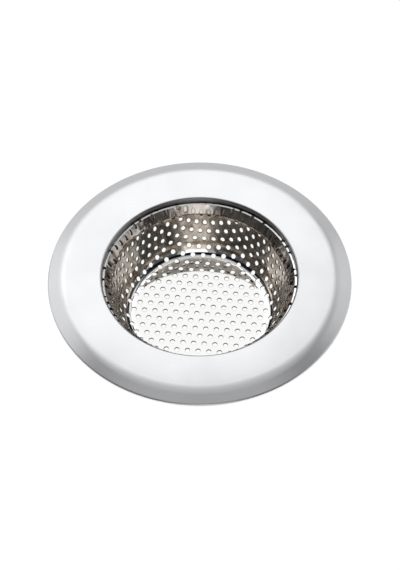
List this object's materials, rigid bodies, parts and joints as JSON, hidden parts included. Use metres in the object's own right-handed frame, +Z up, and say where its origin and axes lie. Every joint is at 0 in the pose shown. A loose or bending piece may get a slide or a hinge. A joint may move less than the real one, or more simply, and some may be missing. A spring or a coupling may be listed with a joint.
{
  "type": "sink strainer",
  "caption": "Drop-in sink strainer: a wide bevelled steel rim with a short neck and collar that hold a tapered perforated steel basket.",
  "frame": {"origin": "on the strainer's axis, in the plane of the edge that the rim rests on", "axes": "+Z up along the axis, out of the basket's mouth; +X and +Y across the rim, with the hole rows turned about 5 degrees from X"},
  "size_m": [0.113, 0.113, 0.0237],
  "materials": {
    "rim_steel": "satin stainless steel",
    "basket_steel": "polished stainless steel, slightly streaked where it was drawn"
  },
  "bodies": {
    "root": {"rim_flange": "rim_steel", "perforated_basket": "basket_steel"}
  },
  "joints": []
}
